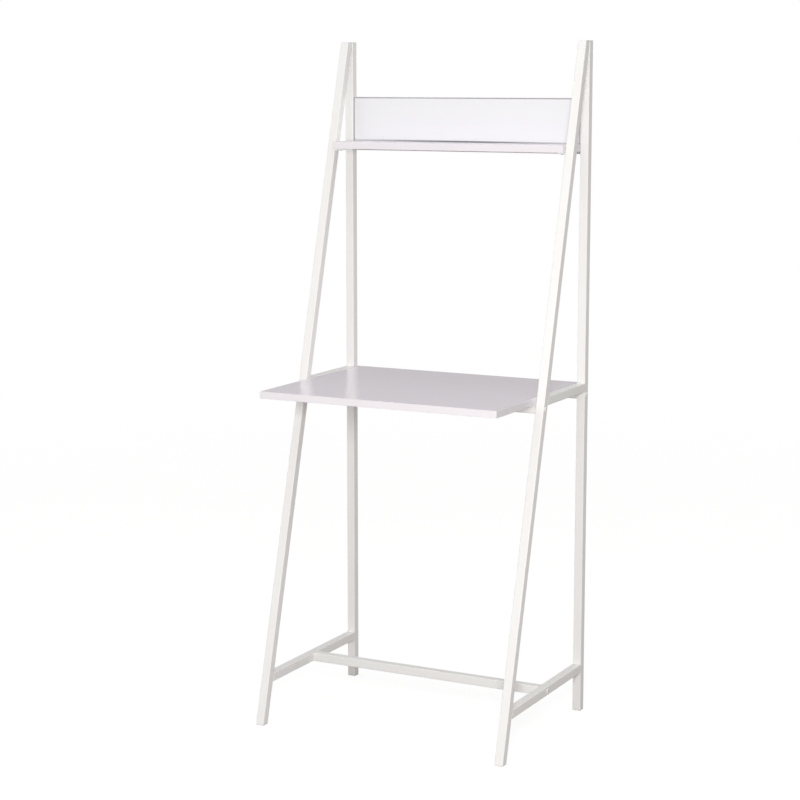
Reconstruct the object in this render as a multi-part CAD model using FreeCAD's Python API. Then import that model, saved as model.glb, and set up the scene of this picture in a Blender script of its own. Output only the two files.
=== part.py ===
import FreeCAD
import Part
import math
import os

# Ladder desk: two welded side frames of square tube, tied by two crossbars and a low stretcher,
# that carry a desk board, a narrow upper shelf and a back panel.
# Millimetres. +X is to the right, +Y to the rear, +Z up, origin on the floor at the middle of the footprint.

Vector = FreeCAD.Vector
RIGHT = Vector(1, 0, 0)
BACK = Vector(0, 1, 0)
UP = Vector(0, 0, 1)

# Overall size
FRAME_WIDTH = 622.3  # 24.5 inches across the outer faces of the side frames
FRAME_DEPTH = 457.2  # 18 inches on the floor, front foot to rear foot
FRAME_HEIGHT = 1549.4  # 61 inches, floor to top plugs
LEG_RUN_TO_DESK = 787.4  # 31 inches along the sloping leg, floor to underside of the desk board
LEG_RUN_TO_SHELF = 238.3  # along the sloping leg, top end to shelf surface: leaves 21.5 inches above the desk
LOWER_RAIL_TOP = 113.0  # height of the lower side rails and the stretcher
DESK_RAIL_RISE = 1.0  # top of a desk rail above the surface of the desk board

# Square steel tube
TUBE_SIZE = 20.0
TUBE_WALL = 1.2
TUBE_CORNER = 1.8  # outer corner radius
TUBE_BORE_CORNER = 0.6  # inner corner radius
WELD_LEG = 2.5  # side of a fillet weld
TOP_WELD_DEPTH = 14.0  # length of the seam that closes the wedge between the legs at the top

# Boards
DESK_DEPTH = 457.2  # 18 inches
DESK_THICKNESS = 16.0
SHELF_DEPTH = 101.6  # 4 inches
SHELF_THICKNESS = 16.0
PANEL_HEIGHT = 125.0
PANEL_THICKNESS = 12.0
PANEL_DROP = 6.0  # lower edge of the back panel below the underside of the shelf
BOARD_END_GAP = 0.5  # between a board's end and the tube beside it
EDGE_BAND = 1.0  # thickness of the edge bands
EDGE_BAND_ROUND = 0.5  # rounding of their outer long edges

# Plastic plugs in the tube ends
FOOT_FLANGE = 3.0
CAP_FLANGE = 2.0
PLUG_DEPTH = 18.0
PLUG_WALL = 1.6
PLUG_GAP = 0.1  # between an insert and the bore of its tube
FLANGE_ROUND = 0.6

# Bolts that join the cross tubes to the side frames
BOLT_RADIUS = 3.0
BOLT_HEAD_RADIUS = 5.5
BOLT_HEAD_HEIGHT = 1.6
BOLT_HEAD_ROUND = 0.7
BOLT_SOCKET_RADIUS = 2.3  # to the corners of the hexagon
BOLT_SOCKET_DEPTH = 1.1
BOLT_REACH = 16.0  # length of thread inside the nut block
BOLT_TIP = 0.8  # chamfer of the thread's end
NUT_BLOCK_LENGTH = 22.0
HOLE_GAP = 0.3  # between a bolt or screw and the clearance hole it passes
THREAD_GAP = 0.05  # between a thread and the hole it is cut in

# Wood screws
SCREW_RADIUS = 2.0
SCREW_HEAD_RADIUS = 3.9
SCREW_HEAD_HEIGHT = 1.7
SCREW_HEAD_ROUND = 1.0
SCREW_TIP = 3.5
SCREW_RECESS_LENGTH = 4.0
SCREW_RECESS_WIDTH = 0.9
SCREW_RECESS_DEPTH = 1.1
SCREW_COVER = 5.0  # board left beyond the tip of a screw
PILOT_SPARE = 1.0  # pilot hole beyond the tip of its screw
SHELF_BACK_REACH = 25.0  # of the screws from the back panel into the shelf
DESK_SCREW_SHARES = (-0.8, 0.0, 0.8)  # of the half width between the frames
SHELF_BACK_SHARES = (-0.7, 0.0, 0.7)  # of the half width between the frames

# Steel tabs that carry the shelf and hold the back panel
TAB_THICKNESS = 3.0
SHELF_TAB_LENGTH = 15.0
SHELF_TAB_REACH = 20.0
PANEL_TAB_HEIGHT = 16.0
PANEL_TAB_REACH = 18.0
PANEL_TAB_SHARES = (0.35, 0.78)  # of the panel's height

OVERRUN = 2.0  # by which a cutting body passes the face that it cuts

# Places worked out from the sizes above
SIDES = {"left": -1, "right": 1}
HALF_WIDTH = FRAME_WIDTH / 2
INNER_HALF = HALF_WIDTH - TUBE_SIZE
FRAME_X = HALF_WIDTH - TUBE_SIZE / 2
TUBE_BORE = TUBE_SIZE - 2 * TUBE_WALL
FLAT_WIDTH = TUBE_SIZE - 2 * TUBE_CORNER
FRONT_FACE = -FRAME_DEPTH / 2
REAR_FACE = FRAME_DEPTH / 2
REAR_LEG_FRONT = REAR_FACE - TUBE_SIZE
REAR_LEG_CENTRE = REAR_FACE - TUBE_SIZE / 2

# The back of the front leg meets the front of the rear leg at the very top, which sets the slope.
LEG_REACH = FRAME_DEPTH - TUBE_SIZE
LEG_DIAGONAL = math.hypot(LEG_REACH, FRAME_HEIGHT)
LEAN = math.atan2(LEG_REACH, FRAME_HEIGHT) - math.asin(TUBE_SIZE / LEG_DIAGONAL)
LEG_AXIS = Vector(0, math.sin(LEAN), math.cos(LEAN))
LEG_LEVEL_DEPTH = TUBE_SIZE / math.cos(LEAN)

DESK_UNDERSIDE = LEG_RUN_TO_DESK * math.cos(LEAN)
DESK_TOP = DESK_UNDERSIDE + DESK_THICKNESS
SHELF_TOP = FRAME_HEIGHT - LEG_RUN_TO_SHELF * math.cos(LEAN)
SHELF_UNDERSIDE = SHELF_TOP - SHELF_THICKNESS
BOARD_LENGTH = 2 * (INNER_HALF - BOARD_END_GAP)
PANEL_BOTTOM = SHELF_UNDERSIDE - PANEL_DROP
PANEL_BACK = REAR_FACE - TUBE_CORNER - TAB_THICKNESS
PANEL_FRONT = PANEL_BACK - PANEL_THICKNESS
RAIL_TOPS = {
    "desk": DESK_TOP + DESK_RAIL_RISE,
    "lower": LOWER_RAIL_TOP,
}


def leg_front(height):
    """Y of the sloping leg's front face at a height."""
    return FRONT_FACE + height * math.tan(LEAN)


def leg_centre(height):
    """Y of the sloping leg's centre line at a height."""
    return leg_front(height) + LEG_LEVEL_DEPTH / 2


def leg_back(height):
    """Y of the sloping leg's back face at a height."""
    return leg_front(height) + LEG_LEVEL_DEPTH


CROSSBAR_HEIGHT = DESK_UNDERSIDE - TUBE_SIZE / 2
STRETCHER_HEIGHT = LOWER_RAIL_TOP - TUBE_SIZE / 2
STRETCHER_Y = (leg_back(STRETCHER_HEIGHT) + REAR_LEG_FRONT) / 2
# Y and height of the centre line of each cross tube
CROSS_TUBES = {
    "front_crossbar": (leg_centre(CROSSBAR_HEIGHT), CROSSBAR_HEIGHT),
    "rear_crossbar": (REAR_LEG_CENTRE, CROSSBAR_HEIGHT),
    "lower_stretcher": (STRETCHER_Y, STRETCHER_HEIGHT),
}
SHELF_TAB_MIDDLE = leg_centre(SHELF_UNDERSIDE - TAB_THICKNESS)
SHELF_TAB_FRONT = SHELF_TAB_MIDDLE - SHELF_TAB_LENGTH / 2


def along(shape, base, direction):
    """Turn a shape made along +Z to run along direction, and set it down at base."""
    shape.Placement = FreeCAD.Placement(base, FreeCAD.Rotation(UP, direction))
    return shape


def drilled(shape, holes):
    """The shape with every hole cut."""
    for hole in holes:
        shape = shape.cut(hole)
    return shape


def square_bar(size, corner, length):
    """Solid square bar with rounded long edges, centred on the Z axis and standing on z = 0."""
    bar = Part.makeBox(size, size, length, Vector(-size / 2, -size / 2, 0))
    long_edges = [edge for edge in bar.Edges if edge.BoundBox.ZLength > length / 2]
    return bar.makeFillet(corner, long_edges)


def square_tube(length):
    """Hollow square tube centred on the Z axis and standing on z = 0."""
    bore = square_bar(TUBE_BORE, TUBE_BORE_CORNER, length + 2 * OVERRUN)
    bore.translate(UP * -OVERRUN)
    return square_bar(TUBE_SIZE, TUBE_CORNER, length).cut(bore)


def level_slab(low, high):
    """Everything between two heights."""
    corner = Vector(-FRAME_WIDTH, -FRAME_DEPTH, low)
    return Part.makeBox(2 * FRAME_WIDTH, 2 * FRAME_DEPTH, high - low, corner)


def front_leg_bar(side, size, corner, low, high):
    """Solid bar on the sloping leg's centre line, cut level at two heights."""
    start = low - TUBE_SIZE
    bar = square_bar(size, corner, (high - low + 2 * TUBE_SIZE) / math.cos(LEAN))
    bar = along(bar, Vector(side * FRAME_X, leg_centre(start), start), LEG_AXIS)
    return bar.common(level_slab(low, high))


def rear_leg_bar(side, size, corner, low, high):
    """Solid bar on the upright leg's centre line between two heights."""
    return along(square_bar(size, corner, high - low), Vector(side * FRAME_X, REAR_LEG_CENTRE, low), UP)


LEG_BARS = {"front": front_leg_bar, "rear": rear_leg_bar}


def side_hole(side, y, height):
    """Bolt clearance hole across one side frame."""
    base = Vector(side * (INNER_HALF - OVERRUN), y, height)
    return Part.makeCylinder(BOLT_RADIUS + HOLE_GAP, TUBE_SIZE + 2 * OVERRUN, base, RIGHT * side)


def leg(place, side):
    """Leg tube between its foot plug and its top plug, with the crossbar's bolt hole."""
    low = FOOT_FLANGE
    high = FRAME_HEIGHT - CAP_FLANGE
    outside = LEG_BARS[place](side, TUBE_SIZE, TUBE_CORNER, low, high)
    bore = LEG_BARS[place](side, TUBE_BORE, TUBE_BORE_CORNER, low - OVERRUN, high + OVERRUN)
    return outside.cut(bore).cut(side_hole(side, *CROSS_TUBES[place + "_crossbar"]))


def end_plug(place, side, flange, insert):
    """Plastic plug: a flange that closes the tube's end, with a hollow insert inside the tube.

    flange is its outer and seated height, insert the height of the insert's far end.
    """
    face, seat = flange
    bar = LEG_BARS[place]
    plate = bar(side, TUBE_SIZE, TUBE_CORNER, min(flange), max(flange))
    outlines = [edge for edge in plate.Edges if edge.BoundBox.ZLength < FLANGE_ROUND / 2]
    rim = [edge for edge in outlines if abs(edge.BoundBox.ZMin - face) < FLANGE_ROUND / 2]
    plate = plate.makeFillet(FLANGE_ROUND, rim)
    size = TUBE_BORE - 2 * PLUG_GAP
    body = bar(side, size, TUBE_BORE_CORNER, min(seat, insert), max(seat, insert))
    beyond = insert + OVERRUN * (1 if insert > seat else -1)
    hollow = bar(side, size - 2 * PLUG_WALL, TUBE_BORE_CORNER, min(seat, beyond), max(seat, beyond))
    return plate.fuse(body.cut(hollow)).removeSplitter()


def foot_plug(place, side):
    """Plug at the floor."""
    return end_plug(place, side, (0, FOOT_FLANGE), FOOT_FLANGE + PLUG_DEPTH)


def top_plug(place, side):
    """Plug at the top end."""
    seat = FRAME_HEIGHT - CAP_FLANGE
    return end_plug(place, side, (FRAME_HEIGHT, seat), seat - PLUG_DEPTH)


def ahead_of_rails():
    """Everything in front of the sloping legs' back faces."""
    block = Part.makeBox(
        2 * FRAME_WIDTH, FRAME_DEPTH, 2 * FRAME_HEIGHT, Vector(-FRAME_WIDTH, -FRAME_DEPTH, -FRAME_HEIGHT / 2)
    )
    slope = FreeCAD.Rotation(RIGHT, -math.degrees(LEAN))
    block.Placement = FreeCAD.Placement(Vector(0, leg_back(0), 0), slope)
    return block


def side_rail(level, side):
    """Side rail between the legs, its front end cut to the slope of the front leg."""
    top = RAIL_TOPS[level]
    start = leg_centre(top - TUBE_SIZE)
    tube = square_tube(REAR_LEG_FRONT - start)
    rail = along(tube, Vector(side * FRAME_X, start, top - TUBE_SIZE / 2), BACK).cut(ahead_of_rails())
    if level == "lower":
        rail = rail.cut(side_hole(side, *CROSS_TUBES["lower_stretcher"]))
    return rail


def prism(points, run):
    """Prism on an outline of points."""
    return Part.Face(Part.makePolygon(points + points[:1])).extrude(run)


def weld_bead(corner, toward, up, run):
    """Triangular fillet weld in a corner, between two directions."""
    return prism([corner, corner + toward * WELD_LEG, corner + up * WELD_LEG], run)


def frame_welds(side):
    """The weld beads of one side frame: rail ends, top seam and tabs."""
    x = side * FRAME_X - FLAT_WIDTH / 2
    across = RIGHT * FLAT_WIDTH
    inward = RIGHT * -side
    beads = []
    for top in RAIL_TOPS.values():
        low = top - TUBE_SIZE
        beads.append(weld_bead(Vector(x, leg_back(top), top), BACK, LEG_AXIS, across))
        beads.append(weld_bead(Vector(x, leg_back(low), low), BACK, LEG_AXIS * -1, across))
        beads.append(weld_bead(Vector(x, REAR_LEG_FRONT, top), BACK * -1, UP, across))
        beads.append(weld_bead(Vector(x, REAR_LEG_FRONT, low), BACK * -1, UP * -1, across))
    high = FRAME_HEIGHT - CAP_FLANGE
    low = high - TOP_WELD_DEPTH
    wedge = [(leg_back(high), high), (REAR_LEG_FRONT, high), (REAR_LEG_FRONT, low), (leg_back(low), low)]
    beads.append(prism([Vector(x, y, z) for y, z in wedge], across))
    corner = Vector(side * INNER_HALF, SHELF_TAB_FRONT, SHELF_UNDERSIDE - TAB_THICKNESS)
    beads.append(weld_bead(corner, inward, UP * -1, BACK * SHELF_TAB_LENGTH))
    for middle in panel_tab_heights():
        for up in (1, -1):
            corner = Vector(side * INNER_HALF, PANEL_BACK, middle + up * PANEL_TAB_HEIGHT / 2)
            beads.append(weld_bead(corner, inward, UP * up, BACK * TAB_THICKNESS))
    return Part.makeCompound(beads)


def cross_tube(name):
    """Tube across the desk, butted between the inner faces of the side frames."""
    return along(square_tube(2 * INNER_HALF), Vector(-INNER_HALF, *CROSS_TUBES[name]), RIGHT)


def nut_blocks(name):
    """Threaded blocks in both ends of a cross tube."""
    blocks = []
    for side in SIDES.values():
        block = square_bar(TUBE_BORE - 2 * PLUG_GAP, TUBE_BORE_CORNER, NUT_BLOCK_LENGTH)
        thread = Part.makeCylinder(BOLT_RADIUS + THREAD_GAP, NUT_BLOCK_LENGTH + 2 * OVERRUN, UP * -OVERRUN)
        blocks.append(along(block.cut(thread), Vector(side * INNER_HALF, *CROSS_TUBES[name]), RIGHT * -side))
    return Part.makeCompound(blocks)


def fastener_head(radius, height, rounding):
    """Round head below z = 0, with its outer rim rounded."""
    head = Part.makeCylinder(radius, height, UP * -height)
    rim = [edge for edge in head.Edges if edge.BoundBox.ZMax < -height / 2]
    return head.makeFillet(rounding, rim)


def bolt(length):
    """Low-head bolt along +Z, its head seated on the plane z = 0."""
    corners = [math.radians(60 * step) for step in range(6)]
    socket_face = -BOLT_HEAD_HEIGHT - OVERRUN
    hexagon = [
        Vector(BOLT_SOCKET_RADIUS * math.cos(turn), BOLT_SOCKET_RADIUS * math.sin(turn), socket_face)
        for turn in corners
    ]
    socket = prism(hexagon, UP * (BOLT_SOCKET_DEPTH + OVERRUN))
    shank = Part.makeCylinder(BOLT_RADIUS, length)
    tip = [edge for edge in shank.Edges if edge.BoundBox.ZMin > length / 2]
    head = fastener_head(BOLT_HEAD_RADIUS, BOLT_HEAD_HEIGHT, BOLT_HEAD_ROUND).cut(socket)
    return head.fuse(shank.makeChamfer(BOLT_TIP, tip)).removeSplitter()


def cross_bolts(name):
    """Bolts through the side frames into a cross tube's nut blocks."""
    bolts = []
    for side in SIDES.values():
        place = Vector(side * HALF_WIDTH, *CROSS_TUBES[name])
        bolts.append(along(bolt(TUBE_SIZE + BOLT_REACH), place, RIGHT * -side))
    return Part.makeCompound(bolts)


def wood_screw(length):
    """Pan-head wood screw along +Z, its head seated on the plane z = 0."""
    head = fastener_head(SCREW_HEAD_RADIUS, SCREW_HEAD_HEIGHT, SCREW_HEAD_ROUND)
    depth = SCREW_RECESS_DEPTH + OVERRUN
    for x_side, y_side in (
        (SCREW_RECESS_LENGTH, SCREW_RECESS_WIDTH),
        (SCREW_RECESS_WIDTH, SCREW_RECESS_LENGTH),
    ):
        corner = Vector(-x_side / 2, -y_side / 2, -SCREW_HEAD_HEIGHT - OVERRUN)
        head = head.cut(Part.makeBox(x_side, y_side, depth, corner))
    shank = Part.makeCylinder(SCREW_RADIUS, length - SCREW_TIP)
    tip = Part.makeCone(SCREW_RADIUS, 0, SCREW_TIP, UP * (length - SCREW_TIP))
    return head.fuse([shank, tip]).removeSplitter()


def wood_screws(seats, direction, length):
    """Screws of one length from their head seats."""
    return Part.makeCompound([along(wood_screw(length), seat, direction) for seat in seats])


def screw_holes(seats, direction, start, stop, gap):
    """Round holes on the screws' axes, from start to stop along each screw."""
    radius = SCREW_RADIUS + gap
    return [Part.makeCylinder(radius, stop - start, seat + direction * start, direction) for seat in seats]


def panel_tab_heights():
    """Middle heights of the tabs behind the back panel."""
    return [PANEL_BOTTOM + share * PANEL_HEIGHT for share in PANEL_TAB_SHARES]


def desk_screw_seats(name):
    """Head seats under one crossbar."""
    y, height = CROSS_TUBES[name]
    return [Vector(share * INNER_HALF, y, height - TUBE_SIZE / 2) for share in DESK_SCREW_SHARES]


def shelf_screw_seats(side):
    """Head seat under one shelf tab."""
    x = side * (INNER_HALF - SHELF_TAB_REACH / 2)
    return [Vector(x, SHELF_TAB_MIDDLE, SHELF_UNDERSIDE - TAB_THICKNESS)]


def panel_screw_seats(side):
    """Head seats behind one side's panel tabs."""
    x = side * (INNER_HALF - PANEL_TAB_REACH / 2)
    return [Vector(x, PANEL_BACK + TAB_THICKNESS, height) for height in panel_tab_heights()]


def shelf_back_seats():
    """Head seats on the back of the panel, in line with the shelf."""
    height = SHELF_UNDERSIDE + SHELF_THICKNESS / 2
    return [Vector(share * INNER_HALF, PANEL_BACK, height) for share in SHELF_BACK_SHARES]


def both_sides(seats_of_side):
    """Head seats of the left and right sides together."""
    return [seat for side in SIDES.values() for seat in seats_of_side(side)]


def shelf_tab(side):
    """Plate on the front leg's inner face, under the shelf."""
    x = min(side * INNER_HALF, side * (INNER_HALF - SHELF_TAB_REACH))
    corner = Vector(x, SHELF_TAB_FRONT, SHELF_UNDERSIDE - TAB_THICKNESS)
    plate = Part.makeBox(SHELF_TAB_REACH, SHELF_TAB_LENGTH, TAB_THICKNESS, corner)
    holes = screw_holes(shelf_screw_seats(side), UP, -OVERRUN, TAB_THICKNESS + OVERRUN, HOLE_GAP)
    return drilled(plate, holes)


def panel_tabs(side):
    """Plates on the rear leg's inner face, behind the back panel."""
    x = min(side * INNER_HALF, side * (INNER_HALF - PANEL_TAB_REACH))
    holes = screw_holes(panel_screw_seats(side), BACK * -1, -OVERRUN, TAB_THICKNESS + OVERRUN, HOLE_GAP)
    tabs = []
    for middle in panel_tab_heights():
        corner = Vector(x, PANEL_BACK, middle - PANEL_TAB_HEIGHT / 2)
        tabs.append(drilled(Part.makeBox(PANEL_TAB_REACH, TAB_THICKNESS, PANEL_TAB_HEIGHT, corner), holes))
    return Part.makeCompound(tabs)


def edge_band(length, thickness):
    """Edge band along +X with its outer face on y = 0 and that face's long edges rounded."""
    band = Part.makeBox(length, EDGE_BAND, thickness)
    long_edges = [edge for edge in band.Edges if edge.BoundBox.XLength > length / 2]
    outer = [edge for edge in long_edges if edge.BoundBox.YMax < EDGE_BAND / 2]
    return band.makeFillet(min(EDGE_BAND_ROUND, EDGE_BAND / 2), outer)


def banded_board(breadth, thickness, placement):
    """A board's core and its four edge bands. It lies centred on the XY plane before it is placed."""
    half_length = BOARD_LENGTH / 2
    half_breadth = breadth / 2
    core = Part.makeBox(
        BOARD_LENGTH - 2 * EDGE_BAND,
        breadth - 2 * EDGE_BAND,
        thickness,
        Vector(EDGE_BAND - half_length, EDGE_BAND - half_breadth, 0),
    )
    core.Placement = placement
    end_length = breadth - 2 * EDGE_BAND
    runs = [
        (BOARD_LENGTH, Vector(-half_length, -half_breadth, 0), 0),
        (end_length, Vector(half_length, EDGE_BAND - half_breadth, 0), 90),
        (BOARD_LENGTH, Vector(half_length, half_breadth, 0), 180),
        (end_length, Vector(-half_length, half_breadth - EDGE_BAND, 0), 270),
    ]
    bands = []
    for length, base, turn in runs:
        band = edge_band(length, thickness)
        band.Placement = placement.multiply(FreeCAD.Placement(base, FreeCAD.Rotation(UP, turn)))
        bands.append(band)
    return core, bands


def desk_pieces():
    """Desk top, its bands and its screws, driven up through the crossbars."""
    flat = FreeCAD.Placement(Vector(0, REAR_FACE - DESK_DEPTH / 2, DESK_UNDERSIDE), FreeCAD.Rotation())
    core, bands = banded_board(DESK_DEPTH, DESK_THICKNESS, flat)
    length = TUBE_SIZE + DESK_THICKNESS - SCREW_COVER
    seats = desk_screw_seats("front_crossbar") + desk_screw_seats("rear_crossbar")
    pilots = screw_holes(seats, UP, TUBE_SIZE - OVERRUN, length + PILOT_SPARE, THREAD_GAP)
    return {
        "desk_top": drilled(core, pilots),
        "desk_edge_bands": Part.makeCompound(bands),
        "desk_screws": wood_screws(seats, UP, length),
    }


def shelf_pieces():
    """Upper shelf, its bands and its screws, driven up through the tabs and in through the back panel."""
    flat = FreeCAD.Placement(Vector(0, PANEL_FRONT - SHELF_DEPTH / 2, SHELF_UNDERSIDE), FreeCAD.Rotation())
    core, bands = banded_board(SHELF_DEPTH, SHELF_THICKNESS, flat)
    length = TAB_THICKNESS + SHELF_THICKNESS - SCREW_COVER
    seats = both_sides(shelf_screw_seats)
    back_length = PANEL_THICKNESS + SHELF_BACK_REACH
    back_start = PANEL_THICKNESS - OVERRUN
    pilots = screw_holes(seats, UP, TAB_THICKNESS - OVERRUN, length + PILOT_SPARE, THREAD_GAP)
    pilots += screw_holes(shelf_back_seats(), BACK * -1, back_start, back_length + PILOT_SPARE, THREAD_GAP)
    return {
        "upper_shelf": drilled(core, pilots),
        "shelf_edge_bands": Part.makeCompound([drilled(band, pilots) for band in bands]),
        "shelf_screws": wood_screws(seats, UP, length),
        "shelf_back_screws": wood_screws(shelf_back_seats(), BACK * -1, back_length),
    }


def panel_pieces():
    """Back panel, its bands and its screws, driven forward through the tabs."""
    middle = PANEL_BOTTOM + PANEL_HEIGHT / 2
    upright = FreeCAD.Placement(Vector(0, PANEL_BACK, middle), FreeCAD.Rotation(RIGHT, 90))
    core, bands = banded_board(PANEL_HEIGHT, PANEL_THICKNESS, upright)
    length = TAB_THICKNESS + PANEL_THICKNESS - SCREW_COVER
    seats = both_sides(panel_screw_seats)
    holes = screw_holes(seats, BACK * -1, TAB_THICKNESS - OVERRUN, length + PILOT_SPARE, THREAD_GAP)
    holes += screw_holes(shelf_back_seats(), BACK * -1, -OVERRUN, PANEL_THICKNESS + OVERRUN, HOLE_GAP)
    return {
        "back_panel": drilled(core, holes),
        "panel_edge_bands": Part.makeCompound(bands),
        "panel_screws": wood_screws(seats, BACK * -1, length),
    }


def side_frame_pieces(name, side):
    """One welded side frame with its plugs and tabs."""
    pieces = {}
    for place in LEG_BARS:
        pieces[f"{name}_{place}_leg"] = leg(place, side)
        pieces[f"{name}_{place}_foot"] = foot_plug(place, side)
        pieces[f"{name}_{place}_top_plug"] = top_plug(place, side)
    for level in RAIL_TOPS:
        pieces[f"{name}_{level}_rail"] = side_rail(level, side)
    pieces[f"{name}_frame_welds"] = frame_welds(side)
    pieces[f"{name}_shelf_tab"] = shelf_tab(side)
    pieces[f"{name}_panel_tabs"] = panel_tabs(side)
    return pieces


def cross_pieces():
    """The three cross tubes with their nut blocks and bolts."""
    pieces = {}
    for name in CROSS_TUBES:
        tube = cross_tube(name)
        if name != "lower_stretcher":
            seats = desk_screw_seats(name)
            tube = drilled(tube, screw_holes(seats, UP, -OVERRUN, TUBE_SIZE + OVERRUN, HOLE_GAP))
        pieces[name] = tube
        pieces[f"{name}_nut_blocks"] = nut_blocks(name)
        pieces[f"{name}_bolts"] = cross_bolts(name)
    return pieces


def main():
    os.makedirs("parts", exist_ok=True)
    pieces = {}
    for name, side in SIDES.items():
        pieces.update(side_frame_pieces(name, side))
    pieces.update(cross_pieces())
    pieces.update(desk_pieces())
    pieces.update(shelf_pieces())
    pieces.update(panel_pieces())
    for name, shape in pieces.items():
        shape.exportStep(f"parts/{name}.step")


main()
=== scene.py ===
import math

import bmesh
import bpy
from bpy.props import FloatProperty, FloatVectorProperty, PointerProperty
from mathutils import Matrix, Vector


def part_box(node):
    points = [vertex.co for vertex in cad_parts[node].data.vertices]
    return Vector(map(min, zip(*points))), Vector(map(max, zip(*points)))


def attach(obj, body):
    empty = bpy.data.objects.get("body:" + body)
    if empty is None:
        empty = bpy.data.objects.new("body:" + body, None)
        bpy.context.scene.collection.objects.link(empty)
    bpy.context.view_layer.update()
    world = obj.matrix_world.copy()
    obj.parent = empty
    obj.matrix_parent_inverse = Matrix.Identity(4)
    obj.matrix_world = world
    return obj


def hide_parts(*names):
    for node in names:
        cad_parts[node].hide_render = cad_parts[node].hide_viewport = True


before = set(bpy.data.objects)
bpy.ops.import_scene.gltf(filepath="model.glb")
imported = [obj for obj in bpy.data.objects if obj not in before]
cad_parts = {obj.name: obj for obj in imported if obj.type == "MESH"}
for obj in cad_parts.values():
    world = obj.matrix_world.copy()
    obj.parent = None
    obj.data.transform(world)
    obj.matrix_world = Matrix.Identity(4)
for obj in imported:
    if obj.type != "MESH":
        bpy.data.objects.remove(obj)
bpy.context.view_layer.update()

bl_info = {
    "name": "Ladder Desk",
    "version": (1, 0, 0),
    "blender": (4, 5, 0),
    "location": "View3D > Sidebar > Ladder Desk",
    "description": "Finished tubes, boards and hardware of a white ladder desk",
    "category": "Object",
}

# Metres throughout. +X is to the right, +Y to the rear, +Z up, origin on the floor.
BODY = "root"
SIDES = {"left": -1, "right": 1}
LEGS = ("front", "rear")
RAILS = ("desk", "lower")
CROSS_TUBES = ("front_crossbar", "rear_crossbar", "lower_stretcher")
BOARDS = {
    "desk_top": "desk_edge_bands",
    "upper_shelf": "shelf_edge_bands",
    "back_panel": "panel_edge_bands",
}
X, Y, Z = 0, 1, 2
RIGHT = Vector((1, 0, 0))
BACK = Vector((0, 1, 0))
UP = Vector((0, 0, 1))
ALONG_X = Matrix.Rotation(math.pi / 2, 4, "Y")
ALONG_Y = Matrix.Rotation(-math.pi / 2, 4, "X")
UPSIDE_DOWN = Matrix.Scale(-1, 4, UP)

# Fineness of the meshes
CORNER_STEPS = 5
ROUND_STEPS = 3
ARRIS_STEPS = 2
WELD_STEPS = 4
FASTENER_STEPS = 24
FLOOR_STEPS = 96
MERGE_DISTANCE = 1e-6
SMOOTH_ANGLE = math.radians(32)

# Places of the screws, as shares of what carries them
DESK_SCREW_SHARES = (-0.8, 0.0, 0.8)
SHELF_BACK_SHARES = (-0.7, 0.0, 0.7)

# Shapes of the fasteners' ends, as shares of their own sizes
BOLT_CHAMFER_SHARE = 0.25
CROSS_ARM = math.radians(20)  # half the angle of one arm of a cross recess
CROSS_WAIST_SHARE = 0.2
CROSS_TAPER_SHARE = 0.55
SCREW_POINT_SHARE = 1 / 12

# Noise patterns of the finishes: repeats per metre along X, Y and Z, and the number of finer layers
PATTERNS = {
    "coat drift": ((5, 5, 5), 3),
    "coat smudge": ((34, 34, 34), 4),
    "orange peel": ((620, 620, 620), 2),
    "board streak": ((2.2, 46, 46), 4),
    "board thread": ((9, 420, 420), 2),
    "board emboss": ((900, 900, 900), 1),
    "band drift": ((7, 30, 30), 3),
    "band line": ((5, 700, 700), 1),
    "plastic texture": ((1500, 1500, 1500), 2),
    "plastic scuff": ((160, 160, 160), 4),
    "bolt grain": ((700, 700, 700), 3),
    "plate cloud": ((420, 420, 420), 3),
    "turning line": ((900, 900, 900), 1),
    "drawing line": ((60, 1400, 1400), 1),
    "floor grain": ((3, 3, 3), 3),
}

# Heights of the finishes' surface textures
PEEL_HEIGHT = 0.00012
WELD_PEEL_HEIGHT = 0.00035
EMBOSS_HEIGHT = 0.00004
BAND_LINE_HEIGHT = 0.00005
PLASTIC_HEIGHT = 0.00008
BOLT_GRAIN_HEIGHT = 0.00008
PLATE_LINE_HEIGHT = 0.00006

WHITE = (1, 1, 1, 1)
OVERHEAD = 0.9  # height on the unit sphere from which the room is at its brightest
# The dark line in the shelf's joint is painted shade.
JOINT_SHADE_FADE = 0.65  # share by which the line in the shelf's joint weakens towards its ends


def box_size(node):
    """Width, depth and height of a node."""
    low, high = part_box(node)
    return high - low


def box_middle(node):
    """Centre of a node."""
    low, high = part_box(node)
    return (low + high) / 2


TUBE = box_size("lower_stretcher").z
INNER_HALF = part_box("right_rear_leg")[0].x
OUTER_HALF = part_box("right_rear_leg")[1].x
REAR_LEG_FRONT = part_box("right_rear_leg")[0].y

# The sloping legs are cut level, so their box gives the lean of a tube of known thickness.
LEG_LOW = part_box("left_front_leg")[0]
LEG_RUN = box_size("left_front_leg")
LEAN = math.atan2(LEG_RUN.y, LEG_RUN.z) - math.asin(TUBE / math.hypot(LEG_RUN.y, LEG_RUN.z))
SLOPE = math.tan(LEAN)
LEG_AXIS = Vector((0, math.sin(LEAN), math.cos(LEAN)))
LEG_LEVEL_DEPTH = TUBE / math.cos(LEAN)
LEANING = Matrix(((1, 0, 0, 0), (0, 1 / math.cos(LEAN), SLOPE, 0), (0, 0, 1, 0), (0, 0, 0, 1)))
LEG_SHAPES = {"front": LEANING, "rear": Matrix.Identity(4)}


def leg_back(height):
    """Y of the sloping leg's back face at a height."""
    return LEG_LOW.y + (height - LEG_LOW.z) * SLOPE + LEG_LEVEL_DEPTH


def leg_middle(place, height):
    """Y of a leg's centre line at a height."""
    if place == "front":
        return leg_back(height) - LEG_LEVEL_DEPTH / 2
    return REAR_LEG_FRONT + TUBE / 2


def size_property(label, words, value):
    """A length that a user may change."""
    return FloatProperty(name=label, description=words, default=value, min=0, precision=4, unit="LENGTH")


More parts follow.
